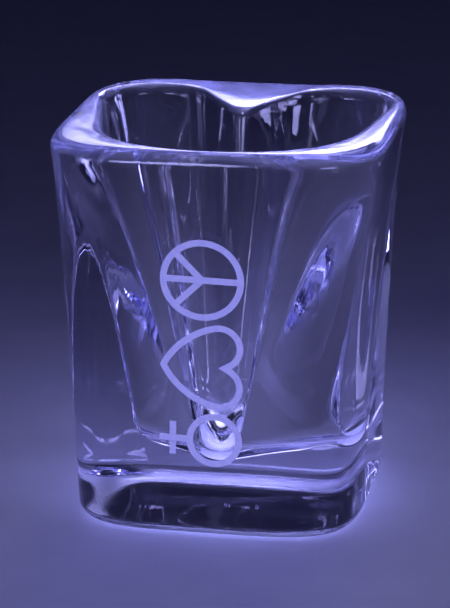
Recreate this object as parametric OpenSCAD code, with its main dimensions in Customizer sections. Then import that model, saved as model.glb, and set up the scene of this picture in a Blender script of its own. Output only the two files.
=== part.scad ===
// Square shot glass with a heart-shaped cavity and a column of three printed symbols.
// The glass stands on z = 0 with its middle on the Z axis, and the prints are on its -Y side.

/* [Outside of the glass] */
// Height of the glass
height = 60; // [58:0.5:66]
// Width across the flats at the foot
foot_w = 44.1; // [43.8:0.1:47]
// How far each side bows outwards between the foot and the rim
side_bow = 2.9; // [2.8:0.1:4]
// Extra flare of each side close to the rim
rim_flare = 0.65; // [0.5:0.05:1.5]
// Squareness of the foot's plan, where 2 is a circle and higher is a tighter corner
foot_square = 4.5; // [4:0.1:6]
// Squareness of the rim's plan
rim_square = 4; // [4:0.1:6]
// Extra squareness half-way up
mid_square = 1.6; // [0:0.1:2]
// Radius of the rounded edge under the foot
foot_round = 2.2; // [0.5:0.1:2.5]
// Radius of the rim's outer edge
rim_round_out = 1.5; // [0.8:0.1:1.6]
// Radius of the rim's inner edge
rim_round_in = 1; // [0.5:0.1:1.1]

/* [Heart-shaped cavity] */
// Thickness of the solid base under the cavity
base_t = 10.5; // [8:0.5:14]
// Radius between the cavity's walls and its floor
floor_round = 4.5; // [2:0.1:4.8]
// Sideways distance of each lobe's centre at the rim
rim_lobe_x = 14; // [13.5:0.1:14]
// Distance of each lobe's centre behind the middle at the rim
rim_lobe_y = 10.3; // [9:0.1:10.5]
// Radius of each lobe at the rim
rim_lobe_r = 8.4; // [8:0.1:8.5]
// Distance of the front curve's centre before the middle at the rim
rim_front_y = 3.1; // [2.5:0.1:3.2]
// Radius of the front curve at the rim
rim_front_r = 19.6; // [18:0.1:19.7]
// Distance of the cleft's tip behind the middle at the rim
rim_cleft_y = 4.2; // [3.5:0.1:5]
// Sideways distance of each lobe's centre at the floor
floor_lobe_x = 7.9; // [7.5:0.1:8.4]
// Distance of each lobe's centre before the middle at the floor
floor_lobe_y = 2.6; // [1.8:0.1:3.4]
// Radius of each lobe at the floor
floor_lobe_r = 6.3; // [5.7:0.1:6.6]
// Distance of the front curve's centre before the middle at the floor
floor_front_y = 12.5; // [11.5:0.1:13]
// Radius of the front curve at the floor
floor_front_r = 5.4; // [5:0.1:6]
// Distance of the cleft's tip before the middle at the floor
floor_cleft_y = 1; // [0:0.1:2]
// Radius of the ridge of glass that makes the cleft
cleft_round = 1.4; // [1.2:0.1:2]
// Turn of the heart against the square outside, in degrees
cavity_turn = 2; // [1:0.1:3]
// Sideways offset of the heart from the middle
cavity_shift_x = 0.6; // [0:0.1:0.7]

/* [Printed symbols] */
// Length of each symbol across the glass
symbol_l = 12.5; // [10:0.1:13]
// Width of the printed lines
stroke_w = 1; // [0.8:0.05:1.1]
// Thickness of the print
print_t = 0.1; // [0.08:0.01:0.2]
// Sideways place of the column of symbols
column_x = -0.4; // [-1:0.1:1]
// Lean of the column, in degrees
column_lean = 1.4; // [0:0.1:2]
// Height of the peace sign's centre
peace_z = 40.6; // [40.2:0.1:41]
// Height of the heart outline's centre
heart_z = 27.1; // [26.8:0.1:27.4]
// Height of the Venus sign's centre
venus_z = 15.6; // [15.2:0.1:15.9]
// Radius of each lobe of the heart outline
print_lobe_r = 3.6; // [3.4:0.1:3.8]
// Distance between the centres of the outline's lobes
print_lobe_gap = 6.2; // [5.8:0.1:6.4]
// Radius of the outline's sides, from the lobes to the tip
print_side_r = 12; // [10:0.5:14]
// Outside radius of the Venus sign's ring
venus_ring_r = 4.2; // [3.9:0.1:4.3]
// Length of the Venus sign's cross bar
venus_bar_l = 5.2; // [4.5:0.1:5.6]

/* [Hidden] */
glass_tint = [0.82, 0.84, 0.97, 0.45];
print_tint = [0.66, 0.67, 0.95];

// Each side's middle is flattened to this share of its half width, so that a print lies flat on it
side_flat = 0.999;
// Heights where the outside changes slope: each print lies within one straight band
peace_band = [34, 47.4];
heart_band = [20.2, 34];
venus_band = [10.8, 20.2];
foot_band_top = 5.5;
// Depths below the rim where the flare changes slope
flare_depths = [9.5, 6.5, 3.7];
wall_stations =
    [
        foot_band_top,
        venus_band[0],
        heart_band[0],
        peace_band[0],
        peace_band[1],
        for (depth = flare_depths) height - depth
    ];

// Steps around each arc of the heart, for half of it
ridge_steps = 4;
lobe_steps = 16;
front_steps = 14;
// Levels of rings up the cavity wall, and steps in each rounded edge
wall_levels = 8;
edge_steps = 4;

function mix(a, b, t) = a + (b - a) * t;
// Direction of a vector, from 0 up to 360 degrees
function direction(p) = (atan2(p[1], p[0]) + 360) % 360;
function on_circle(centre, r, angle) = centre + r * [cos(angle), sin(angle)];

// Plan of the outside

function half_width(z) =
    let(share = z / height)
    foot_w / 2 + side_bow * pow(share, 2) + rim_flare * pow(share, 8);

function squareness(z) =
    let(share = z / height)
    mix(foot_square, rim_square, share) + 4 * mid_square * share * (1 - share);

function clip(value, limit) = max(-limit, min(limit, value));

// Point of the rounded square in one direction from its middle
function square_point(angle, half, power) =
    let(
        r = half / pow(pow(abs(cos(angle)), power) + pow(abs(sin(angle)), power), 1 / power),
        flat = half * side_flat
    )
    [clip(r * cos(angle), flat), clip(r * sin(angle), flat)];

// Plan of the cavity: front arc and two lobes joined by tangent lines, with a ridge between the lobes

// Right half of the heart, from the ridge to the front; t is 0 at the floor and 1 at the rim
function half_heart(t, grow) =
    let(
        lobe = [mix(floor_lobe_x, rim_lobe_x, t), mix(-floor_lobe_y, rim_lobe_y, t)],
        lobe_r = mix(floor_lobe_r, rim_lobe_r, t),
        front = [0, -mix(floor_front_y, rim_front_y, t)],
        front_r = mix(floor_front_r, rim_front_r, t),
        ridge = [0, mix(-floor_cleft_y, rim_cleft_y, t) + cleft_round],
        // Outward directions at the tangent lines: down the side, and down the cleft's flank
        side = direction(lobe - front) - acos((front_r - lobe_r) / norm(lobe - front)),
        flank = direction(ridge - lobe) - acos((lobe_r + cleft_round) / norm(ridge - lobe))
    )
    [
        for (k = [0 : ridge_steps])
            on_circle(ridge, grow - cleft_round, mix(90, flank, k / ridge_steps)),
        for (k = [0 : lobe_steps])
            on_circle(lobe, lobe_r + grow, mix(flank, side, k / lobe_steps)),
        for (k = [0 : front_steps])
            on_circle(front, front_r + grow, mix(side, -90, k / front_steps))
    ];

function turned(p) =
    [
        cavity_shift_x + p[0] * cos(cavity_turn) - p[1] * sin(cavity_turn),
        p[0] * sin(cavity_turn) + p[1] * cos(cavity_turn)
    ];

function heart_plan(t, grow) =
    let(right = half_heart(t, grow), last = len(right) - 1)
    [
        for (k = [0 : last]) turned(right[k]),
        for (k = [last - 1 : -1 : 1]) turned([-right[k][0], right[k][1]])
    ];

// Rings of the body, each with one point in the direction of each point of the heart's rim

ring_angles = [for (p = heart_plan(1, 0)) direction(p)];

function outside_ring(z, inset) =
    [
        for (angle = ring_angles)
            concat(square_point(angle, half_width(z) - inset, squareness(z)), z)
    ];

function cavity_ring(z, t, grow) = [for (p = heart_plan(t, grow)) concat(p, z)];

wall_low = base_t + floor_round;
wall_high = height - rim_round_in;

body_rings =
    [
        for (k = [0 : edge_steps])
            let(a = 90 * k / edge_steps)
            outside_ring(foot_round * (1 - cos(a)), foot_round * (1 - sin(a))),
        for (z = wall_stations) outside_ring(z, 0),
        for (k = [edge_steps : -1 : 0])
            let(a = 90 * k / edge_steps)
            outside_ring(height - rim_round_out * (1 - cos(a)), rim_round_out * (1 - sin(a))),
        for (k = [0 : edge_steps])
            let(a = 90 * k / edge_steps)
            cavity_ring(height - rim_round_in * (1 - cos(a)), 1, rim_round_in * (1 - sin(a))),
        for (k = [wall_levels - 1 : -1 : 0])
            let(t = k / wall_levels)
            cavity_ring(mix(wall_low, wall_high, t), t, 0),
        for (k = [1 : edge_steps])
            let(a = 90 * k / edge_steps)
            cavity_ring(base_t + floor_round * (1 - sin(a)), 0, -floor_round * (1 - cos(a)))
    ];

module skin(rings) {
    count = len(rings[0]);
    last = len(rings) - 1;
    middle = len(rings) * count;
    walls = [
        for (row = [0 : last - 1])
            for (k = [0 : count - 1])
                let(a = row * count + k, b = row * count + (k + 1) % count)
                each [[a, b, b + count], [a, b + count, a + count]]
    ];
    bottom = [for (k = [0 : count - 1]) [(k + 1) % count, k, middle]];
    top = [for (k = [0 : count - 1]) last * count + k];
    points = [for (ring = rings) each ring, [0, 0, 0]];
    polyhedron(points = points, faces = concat(walls, bottom, [top]), convexity = 6);
}

module glass_body() {
    color(glass_tint) skin(body_rings);
}

// Draws its children flat on the front side, within one band, with their own +X to the glass's right
module on_front(band, z) {
    low_y = half_width(band[0]) * side_flat;
    high_y = half_width(band[1]) * side_flat;
    slope = atan((high_y - low_y) / (band[1] - band[0]));
    x = column_x + (z - heart_z) * tan(column_lean);
    translate([x, -low_y, band[0]])
        rotate([90 + slope, 0, 0])
            translate([0, (z - band[0]) / cos(slope), 0])
                linear_extrude(print_t)
                    rotate(-column_lean)
                        children();
}

module ring_outline(r) {
    difference() {
        circle(r = r, $fn = 96);
        circle(r = r - stroke_w, $fn = 96);
    }
}

// A straight line that runs from x = low to x = high
module line_outline(low, high) {
    translate([low, -stroke_w / 2]) square([high - low, stroke_w]);
}

module peace_sign_print() {
    r = symbol_l / 2;
    reach = r - stroke_w / 2;
    color(print_tint)
        on_front(peace_band, peace_z) {
            ring_outline(r);
            line_outline(-reach, reach);
            for (angle = [135, 225]) rotate(angle) line_outline(0, reach);
        }
}

// Half of the heart outline's points, from its tip at the left, along the side and around one lobe
function print_heart_half() =
    let(
        lobe = [symbol_l / 2 - print_lobe_r, print_lobe_gap / 2],
        tip = [-symbol_l / 2, 0],
        // The side's arc passes through the tip and meets the lobe's arc without a corner
        chord = norm(lobe - tip),
        inner_r = print_side_r - print_lobe_r,
        cos_tip = (pow(chord, 2) + pow(print_side_r, 2) - pow(inner_r, 2)) / (2 * chord * print_side_r),
        side = on_circle(tip, print_side_r, direction(lobe - tip) - acos(cos_tip)),
        tip_angle = direction(tip - side),
        join_angle = direction(lobe - side),
        cleft_angle = -asin(lobe[1] / print_lobe_r)
    )
    [
        for (k = [0 : 10]) on_circle(side, print_side_r, mix(tip_angle, join_angle, k / 10)),
        for (k = [1 : 20]) on_circle(lobe, print_lobe_r, mix(join_angle, cleft_angle, k / 20))
    ];

module heart_shape() {
    half = print_heart_half();
    last = len(half) - 1;
    polygon([
        for (k = [0 : last]) half[k],
        for (k = [last - 1 : -1 : 1]) [half[k][0], -half[k][1]]
    ]);
}

module heart_print() {
    color(print_tint)
        on_front(heart_band, heart_z)
            difference() {
                heart_shape();
                offset(delta = -stroke_w) heart_shape();
            }
}

module venus_sign_print() {
    ring_x = symbol_l / 2 - venus_ring_r;
    stem_low = -symbol_l / 2;
    bar_x = (stem_low + ring_x - venus_ring_r) / 2;
    color(print_tint)
        on_front(venus_band, venus_z) {
            translate([ring_x, 0]) ring_outline(venus_ring_r);
            line_outline(stem_low, ring_x - venus_ring_r + stroke_w / 2);
            translate([bar_x, 0]) rotate(90) line_outline(-venus_bar_l / 2, venus_bar_l / 2);
        }
}

glass_body();
peace_sign_print();
heart_print();
venus_sign_print();
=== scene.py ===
"""Square shot glass with a heart-shaped cavity and a column of three frosted prints.

The glass is one smooth mesh of closed rings: out from the middle of the foot, up the outside, over the
rim, down the cavity and in to the middle of its floor. Each print is a thin plate, drawn flat and then
laid on the front side. Lengths are in metres, in the frame of the CAD model.
"""
import math

import bmesh
import bpy
import numpy as np
from mathutils import Matrix, Vector, noise
from mathutils.geometry import tessellate_polygon


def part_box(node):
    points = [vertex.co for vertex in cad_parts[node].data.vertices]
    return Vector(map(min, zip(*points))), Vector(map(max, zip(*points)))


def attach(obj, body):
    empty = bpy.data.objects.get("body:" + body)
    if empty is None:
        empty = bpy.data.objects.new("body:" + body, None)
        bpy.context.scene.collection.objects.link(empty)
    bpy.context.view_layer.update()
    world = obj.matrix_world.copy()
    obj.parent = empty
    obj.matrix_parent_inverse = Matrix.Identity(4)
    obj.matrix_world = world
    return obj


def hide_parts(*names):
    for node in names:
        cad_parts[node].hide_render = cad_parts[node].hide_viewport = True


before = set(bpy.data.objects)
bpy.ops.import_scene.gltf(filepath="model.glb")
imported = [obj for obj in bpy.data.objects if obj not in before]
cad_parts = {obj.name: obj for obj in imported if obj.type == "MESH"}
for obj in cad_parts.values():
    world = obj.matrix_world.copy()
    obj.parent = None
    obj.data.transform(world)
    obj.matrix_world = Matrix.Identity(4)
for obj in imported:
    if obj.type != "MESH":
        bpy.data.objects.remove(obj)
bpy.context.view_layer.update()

MM = 0.001
GLASS_LOW, GLASS_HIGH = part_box("glass_body")
HEIGHT = GLASS_HIGH.z - GLASS_LOW.z

# Outside of the glass
FOOT_WIDTH = 44.1 * MM
SIDE_BOW = 2.9 * MM
RIM_FLARE = 0.65 * MM
FOOT_SQUARE = 4.5
RIM_SQUARE = 4.0
MID_SQUARE = 1.6
FOOT_ROUND = 2.2 * MM
# The underside is hollowed by this much, inside a bearing band that starts at this share of the way out
UNDERSIDE_RISE = 0.6 * MM
BEARING_START = 0.90

# Cavity: each pair is the value at the floor and the value at the rim
BASE_THICKNESS = 10.5 * MM
FLOOR_ROUND = 4.5 * MM
FLOOR_DISH = 0.4 * MM
LOBE_X = (7.9 * MM, 14.0 * MM)
LOBE_Y = (-2.6 * MM, 10.3 * MM)
LOBE_RADIUS = (6.3 * MM, 8.4 * MM)
FRONT_Y = (-12.5 * MM, -3.1 * MM)
FRONT_RADIUS = (5.4 * MM, 19.6 * MM)
CLEFT_Y = (-1.0 * MM, 4.2 * MM)
CLEFT_ROUND = 1.4 * MM
CAVITY_TURN = math.radians(2.0)
CAVITY_SHIFT_X = 0.6 * MM

# Rim: where each wall ends, how far each edge rounds over where the land is wide and the share of the land
# that it takes where the land is narrow, and the land's crown
WALL_TOP_OUT = HEIGHT - 2.0 * MM
WALL_TOP_IN = HEIGHT - 1.5 * MM
RIM_ROUND_OUT = 2.0 * MM
RIM_ROUND_IN = 2.4 * MM
NARROW_SHARE_OUT = 0.75
NARROW_SHARE_IN = 0.5
RIM_CROWN = 0.6 * MM
CROWN_WIDTH = 6.0 * MM

# Slight unevenness of pressed glass: (depth, length around, length up)
OUTSIDE_WAVES = ((0.045 * MM, 11 * MM, 19 * MM),)
CAVITY_WAVES = ((0.050 * MM, 8 * MM, 17 * MM), (0.010 * MM, 1.7 * MM, 30 * MM))
# Flow lines along the rim's land and the foot's edge: depths, number across, and how they wander
RIPPLE_DEPTH = 0.05 * MM
FOOT_RIPPLE_DEPTH = 0.06 * MM
RIPPLES = 2.5
RIPPLE_WANDER = 0.8
RIPPLE_LENGTH = 9 * MM

# Points around each stretch of half the heart, and rings along each stretch of the profile
RIDGE_POINTS = 14
FLANK_POINTS = 16
LOBE_POINTS = 64
SIDE_POINTS = 16
FRONT_POINTS = 90
EDGE_RINGS = 14
WALL_RINGS = 64
LAND_RINGS = 22
CAP_RINGS = 24
PLAN_SMOOTHING = 12

# Printed symbols
SYMBOL_LENGTH = 12.5 * MM
STROKE = 1.0 * MM
COLUMN_X = -0.4 * MM
COLUMN_LEAN = math.radians(1.4)
PEACE_Z = 40.6 * MM
HEART_Z = 27.1 * MM
VENUS_Z = 15.6 * MM
PRINT_LOBE_RADIUS = 3.6 * MM
PRINT_LOBE_GAP = 6.2 * MM
PRINT_SIDE_RADIUS = 12 * MM
VENUS_RING_RADIUS = 4.2 * MM
VENUS_BAR = 5.2 * MM
# Points along the arcs of the symbols
CIRCLE_POINTS = 96
PEACE_RING_POINTS = 144
PEACE_SECTOR_POINTS = 40
HEART_SIDE_POINTS = 40
HEART_LOBE_POINTS = 60
VENUS_RING_POINTS = 110
# Section of a print's edge, as (distance in from the outline, height above the glass)
PRINT_EDGE = (
    (0.00 * MM, -0.030 * MM),
    (0.00 * MM, 0.030 * MM),
    (0.015 * MM, 0.052 * MM),
    (0.045 * MM, 0.068 * MM),
    (0.090 * MM, 0.074 * MM),
)
# Each print is cut across in rows this far apart, so that it bends with the glass
PRINT_ROW = 0.75 * MM
CUT_TOLERANCE = 0.001 * MM

# Glass: its haze, wear and smears are all added roughness, and each pair of heights or distances is where
# one starts and ends. Sizes are the lengths of a feature along x, y and z.
GLASS_IOR = 1.52
HAZE_HEIGHTS = (57.2 * MM, 59.4 * MM)
HAZE = 0.14
WEAR_HEIGHTS = (0.01 * MM, 0.04 * MM)
WEAR = 0.35
FOOT_HAZE_REACH = (FOOT_WIDTH / 2 - 1.2 * FOOT_ROUND, FOOT_WIDTH / 2 - 0.8 * FOOT_ROUND)
FOOT_HAZE_HEIGHTS = (0.5 * FOOT_ROUND, FOOT_ROUND)
FOOT_HAZE = 0.3
SMEAR_SIZE = (5 * MM, 5 * MM, 9 * MM)
SMEAR_START, SMEAR_END = 0.5, 0.8
SMEAR = 0.03
STREAK_SIZE = (1.6 * MM, 1.6 * MM, 40 * MM)
STREAK_DEPTH = 0.010 * MM
# What thick glass takes out of light, and what is left of a lamp's light that passes straight through
ABSORPTION_TINT = (0.6, 0.6, 0.95)
ABSORPTION_DENSITY = 8.0
PASSED_TINT = (0.86, 0.87, 0.96)

# Print and floor: darker and lighter tones, size of the mottling, and the grain's roughness, size and depth
PRINT_TONES = ((0.66, 0.66, 0.94), (0.78, 0.78, 1.0))
PRINT_MOTTLE = 0.9 * MM
PRINT_ROUGHNESS = (0.5, 0.75)
PRINT_GRAIN = 0.11 * MM
PRINT_GRAIN_DEPTH = 0.012 * MM
FLOOR_TONES = ((0.56, 0.56, 0.64), (0.62, 0.62, 0.70))
FLOOR_MOTTLE = 14 * MM
FLOOR_ROUGHNESS = (0.55, 0.7)
FLOOR_GRAIN = 0.6 * MM
FLOOR_GRAIN_DEPTH = 0.03 * MM
# Noise stays mostly between these two values
NOISE_LOW, NOISE_HIGH = 0.3, 0.7
FLOOR_HALF = 1.5
FLOOR_GAP = 0.02 * MM

# Light: (name, place, point it is turned to, size, power in watts, spread in degrees)
LAMP_COLOUR = (0.45, 0.45, 1.0)
MIDDLE = (0, 0, HEIGHT / 2)
BRIM = (0, 0, HEIGHT)
LAMPS = (
    ("softbox_front_left", (-0.14, -0.42, 0.06), MIDDLE, (0.16, 0.10), 0.086, 60),
    ("softbox_front_right", (0.30, -0.35, 0.06), MIDDLE, (0.16, 0.10), 0.064, 60),
    ("lamp_near_left", (-0.14, -0.14, 0.05), MIDDLE, (0.08, 0.08), 0.005, 90),
    ("lamp_near_right", (0.14, -0.12, 0.05), MIDDLE, (0.03, 0.10), 0.005, 90),
    ("bar_front", (-0.02, -0.22, 0.22), MIDDLE, (0.30, 0.012), 0.006, 60),
    ("softbox_above", (0.0, 0.03, 0.11), MIDDLE, (0.06, 0.03), 0.0012, 60),
    ("lamp_down", (0.0, 0.001, 0.16), MIDDLE, (0.02, 0.02), 0.0045, 16),
    ("softbox_back", (0.015, 0.16, 0.20), MIDDLE, (0.14, 0.10), 0.010, 35),
    ("strip_back", (0.0, 0.10, 0.095), BRIM, (0.14, 0.012), 0.0058, 38),
)
WORLD_COLOUR = (0.006, 0.006, 0.023)

# Camera
CAMERA_AZIMUTH = 11.04
CAMERA_ELEVATION = 16.96
CAMERA_ROLL = -0.27
CAMERA_DISTANCE = 441.3 * MM
CAMERA_LENS_MM = 169.4
CAMERA_AIM_RIGHT = -1.2 * MM
CAMERA_NEAR = 10 * MM


# ---------------------------------------------------------------- camera

def make_camera():
    """A long lens, a little above the rim and round towards the glass's right side."""
    azimuth, elevation, roll = map(math.radians, (CAMERA_AZIMUTH, CAMERA_ELEVATION, CAMERA_ROLL))
    back = Vector((
        math.sin(azimuth) * math.cos(elevation),
        -math.cos(azimuth) * math.cos(elevation),
        math.sin(elevation),
    ))
    level_right = Vector((math.cos(azimuth), math.sin(azimuth), 0))
    level_up = back.cross(level_right)
    right = level_right * math.cos(roll) + level_up * math.sin(roll)
    up = back.cross(right)
    aim = Vector((0, 0, HEIGHT / 2)) + level_right * CAMERA_AIM_RIGHT
    data = bpy.data.cameras.new("camera")
    data.lens = CAMERA_LENS_MM
    data.clip_start = CAMERA_NEAR
    camera = bpy.data.objects.new("camera", data)
    bpy.context.scene.collection.objects.link(camera)
    turn = Matrix((right, up, back)).transposed()
    camera.matrix_world = Matrix.Translation(aim + back * CAMERA_DISTANCE) @ turn.to_4x4()
    bpy.context.scene.camera = camera


# ---------------------------------------------------------------- plan of the glass

def mix(pair, t):
    return pair[0] + (pair[1] - pair[0]) * t


def half_width(z):
    share = z / HEIGHT
    return FOOT_WIDTH / 2 + SIDE_BOW * share**2 + RIM_FLARE * share**8


def squareness(z):
    share = z / HEIGHT
    return mix((FOOT_SQUARE, RIM_SQUARE), share) + 4 * MID_SQUARE * share * (1 - share)


def outside_ring(angles, z, inset=0.0):
    """The rounded square at height z, drawn in by inset, with one point in each direction."""
    power = squareness(z)
    cosines, sines = np.cos(angles), np.sin(angles)
    reach = (half_width(z) - inset) / (abs(cosines)**power + abs(sines)**power) ** (1 / power)
    return np.column_stack([reach * cosines, reach * sines, np.full(len(angles), z)])


def on_circle(centre, radius, angles):
    return np.column_stack([centre[0] + radius * np.cos(angles), centre[1] + radius * np.sin(angles)])


def between(start, end, count):
    """Points strictly between two ends of a straight stretch."""
    shares = np.arange(1, count + 1)[:, None] / (count + 1)
    return start + (end - start) * shares


def half_heart(t, grow):
    """Right half of the cavity's plan, from ridge to front; t is 0 at the floor and 1 at the rim."""
    lobe, lobe_radius = np.array([mix(LOBE_X, t), mix(LOBE_Y, t)]), mix(LOBE_RADIUS, t)
    front, front_radius = np.array([0, mix(FRONT_Y, t)]), mix(FRONT_RADIUS, t)
    ridge = np.array([0, mix(CLEFT_Y, t) + CLEFT_ROUND])
    to_lobe, to_ridge = lobe - front, ridge - lobe
    side = math.atan2(to_lobe[1], to_lobe[0])
    side -= math.acos((front_radius - lobe_radius) / np.hypot(*to_lobe))
    flank = math.atan2(to_ridge[1], to_ridge[0]) % math.tau
    flank -= math.acos((lobe_radius + CLEFT_ROUND) / np.hypot(*to_ridge))
    ridge_arc = on_circle(ridge, grow - CLEFT_ROUND, np.linspace(math.pi / 2, flank, RIDGE_POINTS))
    lobe_arc = on_circle(lobe, lobe_radius + grow, np.linspace(flank, side, LOBE_POINTS))
    front_arc = on_circle(front, front_radius + grow, np.linspace(side, -math.pi / 2, FRONT_POINTS))
    return np.vstack([
        ridge_arc,
        between(ridge_arc[-1], lobe_arc[0], FLANK_POINTS),
        lobe_arc,
        between(lobe_arc[-1], front_arc[0], SIDE_POINTS),
        front_arc,
    ])


def smoothed(loop):
    """Eases the joints between arcs and straights, where real glass has no sudden change of curvature."""
    for _ in range(PLAN_SMOOTHING):
        loop = loop / 2 + (np.roll(loop, 1, axis=0) + np.roll(loop, -1, axis=0)) / 4
    return loop


def heart_plan(t, grow=0.0):
    right = half_heart(t, grow)
    left = right[-2:0:-1] * [-1, 1]
    both = smoothed(np.vstack([right, left]))
    c, s = math.cos(CAVITY_TURN), math.sin(CAVITY_TURN)
    return both @ np.array([[c, s], [-s, c]]) + [CAVITY_SHIFT_X, 0]


def cavity_ring(z, t, grow=0.0):
    plan = heart_plan(t, grow)
    return np.column_stack([plan, np.full(len(plan), z)])


# ---------------------------------------------------------------- profile of the glass

def quarter_turns(count):
    """Sines and cosines of even steps through a quarter turn, for a rounded edge."""
    angles = np.linspace(0, math.pi / 2, count)
    return list(zip(np.sin(angles), np.cos(angles)))


def underside_rings(angles):
    edge = outside_ring(angles, 0.0, FOOT_ROUND)
    rings = []
    for share in np.arange(1, CAP_RINGS) / CAP_RINGS:
        hollow = max(0.0, 1 - (share / BEARING_START) ** 2)
        rings.append(edge * [share, share, 1] + [0, 0, UNDERSIDE_RISE * hollow**2])
    return rings


def wandering(points):
    """How far flow lines have drifted at each point round an edge, in turns of a ripple."""
    return np.array([RIPPLE_WANDER * noise.noise(Vector(point) / RIPPLE_LENGTH) for point in points])


def ripple(share, drift):
    """Flow lines at a share of the way across an edge, from 0 to 1."""
    return 0.5 - 0.5 * np.cos(math.tau * (RIPPLES * share + drift))


def outside_rings(angles):
    drift = wandering(outside_ring(angles, 0.0))
    foot = []
    for s, c in quarter_turns(EDGE_RINGS):
        flow = ripple(c, drift) * (2 * s * c) ** 2
        inset = FOOT_ROUND * (1 - s) + FOOT_RIPPLE_DEPTH * flow
        foot.append(outside_ring(angles, FOOT_ROUND * (1 - c), inset))
    wall = [outside_ring(angles, z) for z in np.linspace(FOOT_ROUND, WALL_TOP_OUT, WALL_RINGS)[1:]]
    return foot + wall


def rim_rings(outer, inner):
    """Rings over the rim from the outer wall to the inner, rounded at both edges and crowned between."""
    across = inner - outer
    land = np.hypot(across[:, 0], across[:, 1])
    round_out = RIM_ROUND_OUT * (1 - np.exp(-NARROW_SHARE_OUT * land / RIM_ROUND_OUT))
    round_in = RIM_ROUND_IN * (1 - np.exp(-NARROW_SHARE_IN * land / RIM_ROUND_IN))
    flat = land - round_out - round_in
    crown = RIM_CROWN * flat / (flat + CROWN_WIDTH)
    drop_out = HEIGHT - WALL_TOP_OUT - crown
    drop_in = HEIGHT - WALL_TOP_IN - crown
    drift = wandering(outer)

    def ring(distance, drop):
        share = distance / land
        flow = ripple(share, drift) * np.sin(math.pi * share) ** 2 * flat / (flat + CROWN_WIDTH)
        height = HEIGHT - drop - crown * (2 * share - 1) ** 2 - RIPPLE_DEPTH * flow
        return np.column_stack([outer[:, :2] + across[:, :2] * share[:, None], height])

    turns = quarter_turns(EDGE_RINGS)
    rings = [ring(round_out * (1 - c), drop_out * (1 - s)) for s, c in turns[1:]]
    rings += [ring(round_out + flat * share, 0) for share in np.linspace(0, 1, LAND_RINGS)[1:-1]]
    rings += [ring(land - round_in * (1 - c), drop_in * (1 - s)) for s, c in reversed(turns)]
    return rings


def cavity_rings():
    low = BASE_THICKNESS + FLOOR_ROUND
    wall = [
        cavity_ring(low + (WALL_TOP_IN - low) * t, t)
        for t in np.linspace(1, 0, WALL_RINGS)[1:]
    ]
    floor_edge = [
        cavity_ring(BASE_THICKNESS + FLOOR_ROUND * (1 - s), 0.0, -FLOOR_ROUND * (1 - c))
        for s, c in quarter_turns(EDGE_RINGS)[1:]
    ]
    return wall + floor_edge


def floor_rings(edge):
    """Rings in from the edge of the cavity's floor, which is dished a little."""
    middle = edge.mean(axis=0)
    rings = []
    for share in np.arange(CAP_RINGS - 1, 0, -1) / CAP_RINGS:
        dish = [0, 0, FLOOR_DISH * (1 - share**2) ** 2]
        rings.append(middle + (edge - middle) * share - dish)
    return rings


def wave(point, waves):
    """How far the glass is uneven at a point, from nothing to the sum of the depths."""
    total = 0.0
    for depth, around, up in waves:
        where = Vector((point[0] / around, point[1] / around, point[2] / up))
        total += depth * (0.5 + 0.5 * noise.noise(where))
    return total


def drawn_in(rings, waves):
    """Moves each point of the rings towards the middle, by how uneven the glass is there."""
    moved = []
    for ring in rings:
        depths = np.array([wave(point, waves) for point in ring])
        reach = np.hypot(ring[:, 0], ring[:, 1])
        scale = 1 - depths / np.maximum(reach, MM)
        moved.append(ring * np.column_stack([scale, scale, np.ones(len(ring))]))
    return moved


def mesh_of_rings(name, rings, first_point, last_point):
    """A closed mesh: a fan at each end, and quads between neighbouring rings."""
    count = len(rings[0])
    points = np.vstack([first_point, *rings, last_point])
    here = np.arange(count)
    ahead = (here + 1) % count
    faces = [(0, 1 + b, 1 + a) for a, b in zip(here, ahead)]
    for row in range(len(rings) - 1):
        low, high = 1 + row * count, 1 + (row + 1) * count
        faces += [(low + a, low + b, high + b, high + a) for a, b in zip(here, ahead)]
    low, last = 1 + (len(rings) - 1) * count, len(points) - 1
    faces += [(low + a, low + b, last) for a, b in zip(here, ahead)]
    mesh = bpy.data.meshes.new(name)
    mesh.from_pydata(points.tolist(), [], [tuple(int(i) for i in f) for f in faces])
    mesh.validate()
    return mesh


def shown(name, mesh):
    piece = bpy.data.objects.new(name, mesh)
    bpy.context.scene.collection.objects.link(piece)
    return piece


def face_outwards(mesh):
    work = bmesh.new()
    work.from_mesh(mesh)
    bmesh.ops.recalc_face_normals(work, faces=work.faces)
    work.to_mesh(mesh)
    work.free()


def make_glass(material):
    rim_plan = heart_plan(1.0)
    angles = np.arctan2(rim_plan[:, 1], rim_plan[:, 0])
    outside = drawn_in(outside_rings(angles), OUTSIDE_WAVES)
    inner = drawn_in([cavity_ring(WALL_TOP_IN, 1.0)], CAVITY_WAVES)[0]
    cavity = drawn_in(cavity_rings(), CAVITY_WAVES)
    rings = underside_rings(angles) + outside + rim_rings(outside[-1], inner) + cavity
    rings += floor_rings(rings[-1])
    under = [[0, 0, UNDERSIDE_RISE]]
    floor = rings[-1].mean(axis=0)[None]
    mesh = mesh_of_rings("clear_glass_body", rings, under, floor)
    face_outwards(mesh)
    mesh.shade_smooth()
    piece = shown("clear_glass_body", mesh)
    piece.data.materials.append(material)
    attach(piece, "root")
    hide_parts("glass_body")


# ---------------------------------------------------------------- printed symbols

def turn_points(centre, radius, start, end, count):
    """Points along an arc, with both its ends."""
    return on_circle(centre, radius, np.linspace(start, end, count))


def full_circle(centre, radius, count=CIRCLE_POINTS):
    return turn_points(centre, radius, 0, math.tau, count + 1)[:-1]


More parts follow.
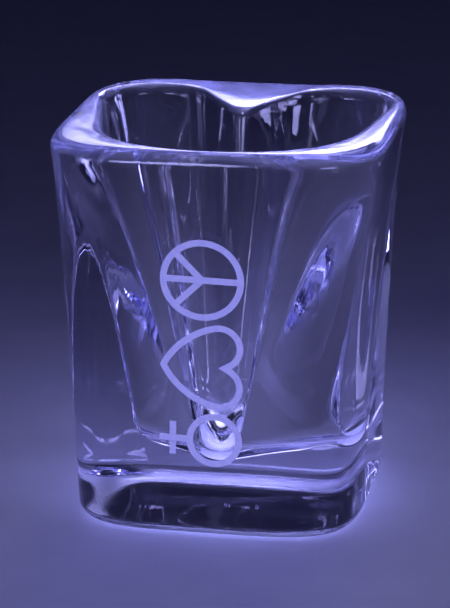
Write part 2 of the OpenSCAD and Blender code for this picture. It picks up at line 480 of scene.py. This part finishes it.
def peace_outlines(inset):
    """A ring with one line right across it and two short lines from its middle."""
    outer_radius = SYMBOL_LENGTH / 2
    hole_radius = outer_radius - STROKE + inset
    half = STROKE / 2 - inset
    outlines = [full_circle((0, 0), outer_radius - inset, PEACE_RING_POINTS)]
    lines = [math.radians(degrees) for degrees in (0, 135, 180, 225, 360)]
    for start, end in zip(lines, lines[1:]):
        middle, spread = (start + end) / 2, (end - start) / 2
        edge = math.asin(half / hole_radius)
        corner = on_circle((0, 0), half / math.sin(spread), np.array([middle]))
        rounded = turn_points((0, 0), hole_radius, start + edge, end - edge, PEACE_SECTOR_POINTS)
        outlines.append(np.vstack([corner, rounded]))
    return outlines


def heart_loop(inset):
    """The heart's outline on its side, with its tip at the left, drawn in by inset."""
    lobe = np.array([SYMBOL_LENGTH / 2 - PRINT_LOBE_RADIUS, PRINT_LOBE_GAP / 2])
    tip = np.array([-SYMBOL_LENGTH / 2, 0])
    chord = np.hypot(*(lobe - tip))
    inner = PRINT_SIDE_RADIUS - PRINT_LOBE_RADIUS
    at_tip = math.acos((chord**2 + PRINT_SIDE_RADIUS**2 - inner**2) / (2 * chord * PRINT_SIDE_RADIUS))
    towards = math.atan2(*(lobe - tip)[::-1]) - at_tip
    side = tip + PRINT_SIDE_RADIUS * np.array([math.cos(towards), math.sin(towards)])
    side_radius, lobe_radius = PRINT_SIDE_RADIUS - inset, PRINT_LOBE_RADIUS - inset
    start = math.pi - math.asin(-side[1] / side_radius)
    join = math.atan2(*(lobe - side)[::-1])
    cleft = -math.asin(lobe[1] / PRINT_LOBE_RADIUS)
    side_arc = turn_points(side, side_radius, start, join, HEART_SIDE_POINTS)
    lobe_arc = turn_points(lobe, lobe_radius, join, cleft, HEART_LOBE_POINTS)
    end_x = lobe_arc[-1, 0] + lobe_arc[-1, 1] * math.tan(cleft)
    half = np.vstack([side_arc, lobe_arc[1:-1], [[end_x, 0]]])
    return np.vstack([half, half[-2:0:-1] * [1, -1]])


def heart_outlines(inset):
    return [heart_loop(inset), heart_loop(STROKE - inset)]


def venus_outlines(inset):
    """A ring with a stem at its left and a bar across the stem."""
    half, stem_end, bar = STROKE / 2 - inset, -SYMBOL_LENGTH / 2, VENUS_BAR / 2 - inset
    ring_x = SYMBOL_LENGTH / 2 - VENUS_RING_RADIUS
    bar_x = (stem_end + ring_x - VENUS_RING_RADIUS) / 2
    joint = math.pi - math.asin(half / (VENUS_RING_RADIUS - inset))
    ring = turn_points((ring_x, 0), VENUS_RING_RADIUS - inset, -joint, joint, VENUS_RING_POINTS)
    above = np.array([
        (bar_x + half, half),
        (bar_x + half, bar),
        (bar_x - half, bar),
        (bar_x - half, half),
        (stem_end + inset, half),
    ])
    hole = full_circle((ring_x, 0), VENUS_RING_RADIUS - STROKE + inset)
    return [np.vstack([ring, above, above[::-1] * [1, -1]]), hole]


def front_reach(x, z):
    """How far the front of the glass is from the middle plane, at one place on it."""
    power, half = squareness(z), half_width(z)
    reach = (half**power - abs(x)**power) ** (1 / power)
    return reach - wave((x, -reach, z), OUTSIDE_WAVES)


def plate_mesh(name, outlines_at):
    """A thin plate with a rounded edge: stacked outlines, with a cap over the first and the last."""
    work = bmesh.new()
    layers = []
    for inset, height in PRINT_EDGE:
        layers.append([[work.verts.new((x, y, height)) for x, y in loop] for loop in outlines_at(inset)])
    for low, high in zip(layers, layers[1:]):
        for low_loop, high_loop in zip(low, high):
            count = len(low_loop)
            for here in range(count):
                ahead = (here + 1) % count
                work.faces.new((low_loop[here], low_loop[ahead], high_loop[ahead], high_loop[here]))
    for layer in (layers[0], layers[-1]):
        corners = [corner for loop in layer for corner in loop]
        for face in tessellate_polygon([[corner.co for corner in loop] for loop in layer]):
            work.faces.new([corners[k] for k in face])
    bmesh.ops.recalc_face_normals(work, faces=work.faces)
    rows = int(SYMBOL_LENGTH / PRINT_ROW)
    for row in range(-rows // 2, rows // 2 + 1):
        everything = list(work.verts) + list(work.edges) + list(work.faces)
        bmesh.ops.bisect_plane(
            work, geom=everything, dist=CUT_TOLERANCE,
            plane_co=(0, (row + 0.5) * PRINT_ROW, 0), plane_no=(0, 1, 0),
        )
    mesh = bpy.data.meshes.new(name)
    work.to_mesh(mesh)
    work.free()
    return mesh


def make_print(name, node, outlines_at, centre_z, material):
    mesh = plate_mesh(name, outlines_at)
    c, s = math.cos(COLUMN_LEAN), math.sin(COLUMN_LEAN)
    centre_x = COLUMN_X + (centre_z - HEART_Z) * math.tan(COLUMN_LEAN)
    for vertex in mesh.vertices:
        u, v, height = vertex.co
        x, z = centre_x + u * c + v * s, centre_z - u * s + v * c
        vertex.co = (x, -front_reach(x, z) - height, z)
    face_outwards(mesh)
    mesh.shade_smooth()
    piece = shown(name, mesh)
    mesh.materials.append(material)
    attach(piece, "root")
    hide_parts(node)


# ---------------------------------------------------------------- materials

def new_material(name):
    material = bpy.data.materials.new(name)
    material.use_nodes = True
    material.node_tree.nodes.clear()
    return material, material.node_tree.nodes, material.node_tree.links


def cloud(nodes, links, feature, detail):
    """Noise from 0 to 1 over the piece, with features as long as given along x, y and z."""
    place = nodes.new("ShaderNodeTexCoord")
    stretch = nodes.new("ShaderNodeMapping")
    stretch.inputs["Scale"].default_value = [1 / length for length in feature]
    texture = nodes.new("ShaderNodeTexNoise")
    texture.inputs["Scale"].default_value = 1.0
    texture.inputs["Detail"].default_value = detail
    links.new(place.outputs["Object"], stretch.inputs["Vector"])
    links.new(stretch.outputs["Vector"], texture.inputs["Vector"])
    return texture.outputs["Fac"]


def ranged(nodes, links, value, start, end, low, high):
    """Turns a value that goes from start to end into one from low to high."""
    step = nodes.new("ShaderNodeMapRange")
    for name, amount in (("From Min", start), ("From Max", end), ("To Min", low), ("To Max", high)):
        step.inputs[name].default_value = amount
    links.new(value, step.inputs["Value"])
    return step.outputs["Result"]


def combined(nodes, links, operation, *values):
    """One arithmetic step on one or two values."""
    step = nodes.new("ShaderNodeMath")
    step.operation = operation
    for slot, value in enumerate(values):
        links.new(value, step.inputs[slot])
    return step.outputs["Value"]


def toned(nodes, links, share, dark, light):
    """Blends from the dark tone to the light one."""
    blend = nodes.new("ShaderNodeMix")
    blend.data_type = "RGBA"
    blend.inputs["A"].default_value = (*dark, 1)
    blend.inputs["B"].default_value = (*light, 1)
    links.new(share, blend.inputs["Factor"])
    return blend.outputs["Result"]


def relief(nodes, links, height, depth):
    bump = nodes.new("ShaderNodeBump")
    bump.inputs["Strength"].default_value = 1.0
    bump.inputs["Distance"].default_value = depth
    links.new(height, bump.inputs["Height"])
    return bump.outputs["Normal"]


def foot_haze(nodes, links, axes):
    """Haze on the rounded edge of the foot, which is far from the middle and low."""
    sides = [combined(nodes, links, "ABSOLUTE", axes.outputs[axis]) for axis in "XY"]
    reach = combined(nodes, links, "MAXIMUM", *sides)
    far = ranged(nodes, links, reach, *FOOT_HAZE_REACH, 0.0, 1.0)
    low = ranged(nodes, links, axes.outputs["Z"], *FOOT_HAZE_HEIGHTS, FOOT_HAZE, 0.0)
    return combined(nodes, links, "MULTIPLY", far, low)


def clear_glass():
    """Pressed glass, with drawn streaks up its walls, faint smears, a hazy rim and a worn foot."""
    material, nodes, links = new_material("clear_glass")
    output = nodes.new("ShaderNodeOutputMaterial")
    glass = nodes.new("ShaderNodeBsdfPrincipled")
    glass.inputs["Base Color"].default_value = (1, 1, 1, 1)
    glass.inputs["Transmission Weight"].default_value = 1.0
    glass.inputs["IOR"].default_value = GLASS_IOR
    place = nodes.new("ShaderNodeTexCoord")
    axes = nodes.new("ShaderNodeSeparateXYZ")
    links.new(place.outputs["Object"], axes.inputs["Vector"])
    haze = ranged(nodes, links, axes.outputs["Z"], *HAZE_HEIGHTS, 0.0, HAZE)
    wear = ranged(nodes, links, axes.outputs["Z"], *WEAR_HEIGHTS, WEAR, 0.0)
    smears = ranged(nodes, links, cloud(nodes, links, SMEAR_SIZE, 3.0), SMEAR_START, SMEAR_END, 0.0, SMEAR)
    ends = combined(nodes, links, "ADD", haze, wear)
    sides = combined(nodes, links, "ADD", smears, foot_haze(nodes, links, axes))
    links.new(combined(nodes, links, "ADD", ends, sides), glass.inputs["Roughness"])
    streaks = cloud(nodes, links, STREAK_SIZE, 2.0)
    links.new(relief(nodes, links, streaks, STREAK_DEPTH), glass.inputs["Normal"])
    lets_lamps = nodes.new("ShaderNodeBsdfTransparent")
    lets_lamps.inputs["Color"].default_value = (*PASSED_TINT, 1)
    path = nodes.new("ShaderNodeLightPath")
    choose = nodes.new("ShaderNodeMixShader")
    links.new(path.outputs["Is Shadow Ray"], choose.inputs["Fac"])
    links.new(glass.outputs["BSDF"], choose.inputs[1])
    links.new(lets_lamps.outputs["BSDF"], choose.inputs[2])
    links.new(choose.outputs["Shader"], output.inputs["Surface"])
    absorption = nodes.new("ShaderNodeVolumeAbsorption")
    absorption.inputs["Color"].default_value = (*ABSORPTION_TINT, 1)
    absorption.inputs["Density"].default_value = ABSORPTION_DENSITY
    links.new(absorption.outputs["Volume"], output.inputs["Volume"])
    return material


def matt(name, tones, mottle_size, roughness, grain_size, grain_depth):
    """A matt surface with two tones that drift into each other, and a fine grain."""
    material, nodes, links = new_material(name)
    output = nodes.new("ShaderNodeOutputMaterial")
    surface = nodes.new("ShaderNodeBsdfPrincipled")
    mottle = cloud(nodes, links, [mottle_size] * 3, 4.0)
    share = ranged(nodes, links, mottle, NOISE_LOW, NOISE_HIGH, 0.0, 1.0)
    links.new(toned(nodes, links, share, *tones), surface.inputs["Base Color"])
    grain = cloud(nodes, links, [grain_size] * 3, 2.0)
    rough = ranged(nodes, links, grain, NOISE_LOW, NOISE_HIGH, *roughness)
    links.new(rough, surface.inputs["Roughness"])
    links.new(relief(nodes, links, grain, grain_depth), surface.inputs["Normal"])
    links.new(surface.outputs["BSDF"], output.inputs["Surface"])
    return material


def frosted_print():
    return matt("frosted_print", PRINT_TONES, PRINT_MOTTLE, PRINT_ROUGHNESS, PRINT_GRAIN, PRINT_GRAIN_DEPTH)


def pale_floor():
    return matt("pale_floor", FLOOR_TONES, FLOOR_MOTTLE, FLOOR_ROUGHNESS, FLOOR_GRAIN, FLOOR_GRAIN_DEPTH)


# ---------------------------------------------------------------- floor and light

def make_floor():
    half = FLOOR_HALF
    mesh = bpy.data.meshes.new("floor")
    corners = [(-half, -half, 0), (half, -half, 0), (half, half, 0), (-half, half, 0)]
    mesh.from_pydata(corners, [], [(0, 1, 2, 3)])
    floor = shown("floor", mesh)
    floor.location.z = GLASS_LOW.z - FLOOR_GAP
    mesh.materials.append(pale_floor())


def make_lamp(name, place, aim, size, watts, spread):
    data = bpy.data.lights.new(name, "AREA")
    data.shape = "RECTANGLE"
    data.size, data.size_y = size
    data.energy = watts
    data.spread = math.radians(spread)
    data.color = LAMP_COLOUR
    lamp = bpy.data.objects.new(name, data)
    lamp.visible_camera = False
    bpy.context.scene.collection.objects.link(lamp)
    lamp.location = place
    lamp.rotation_euler = (Vector(aim) - Vector(place)).to_track_quat("-Z", "Y").to_euler()


def make_light():
    """Small lamps close to the glass, so that the floor is pale around it and darkens behind it."""
    for name, place, aim, size, watts, spread in LAMPS:
        make_lamp(name, place, aim, size, watts, spread)
    world = bpy.data.worlds.new("studio")
    world.use_nodes = True
    background = world.node_tree.nodes["Background"]
    background.inputs["Color"].default_value = (*WORLD_COLOUR, 1)
    bpy.context.scene.world = world


def let_light_through():
    """Enough bounces for thick glass, where each reflection inside it counts as a glossy bounce."""
    scene = bpy.context.scene
    scene.cycles.max_bounces = 32
    scene.cycles.glossy_bounces = 24
    scene.cycles.transmission_bounces = 24
    scene.cycles.transparent_max_bounces = 16
    scene.view_settings.view_transform = "Standard"


# ---------------------------------------------------------------- build

make_camera()
make_glass(clear_glass())
ink = frosted_print()
make_print("peace_sign", "peace_sign_print", peace_outlines, PEACE_Z, ink)
make_print("heart_outline", "heart_print", heart_outlines, HEART_Z, ink)
make_print("venus_sign", "venus_sign_print", venus_outlines, VENUS_Z, ink)
make_floor()
make_light()
let_light_through()
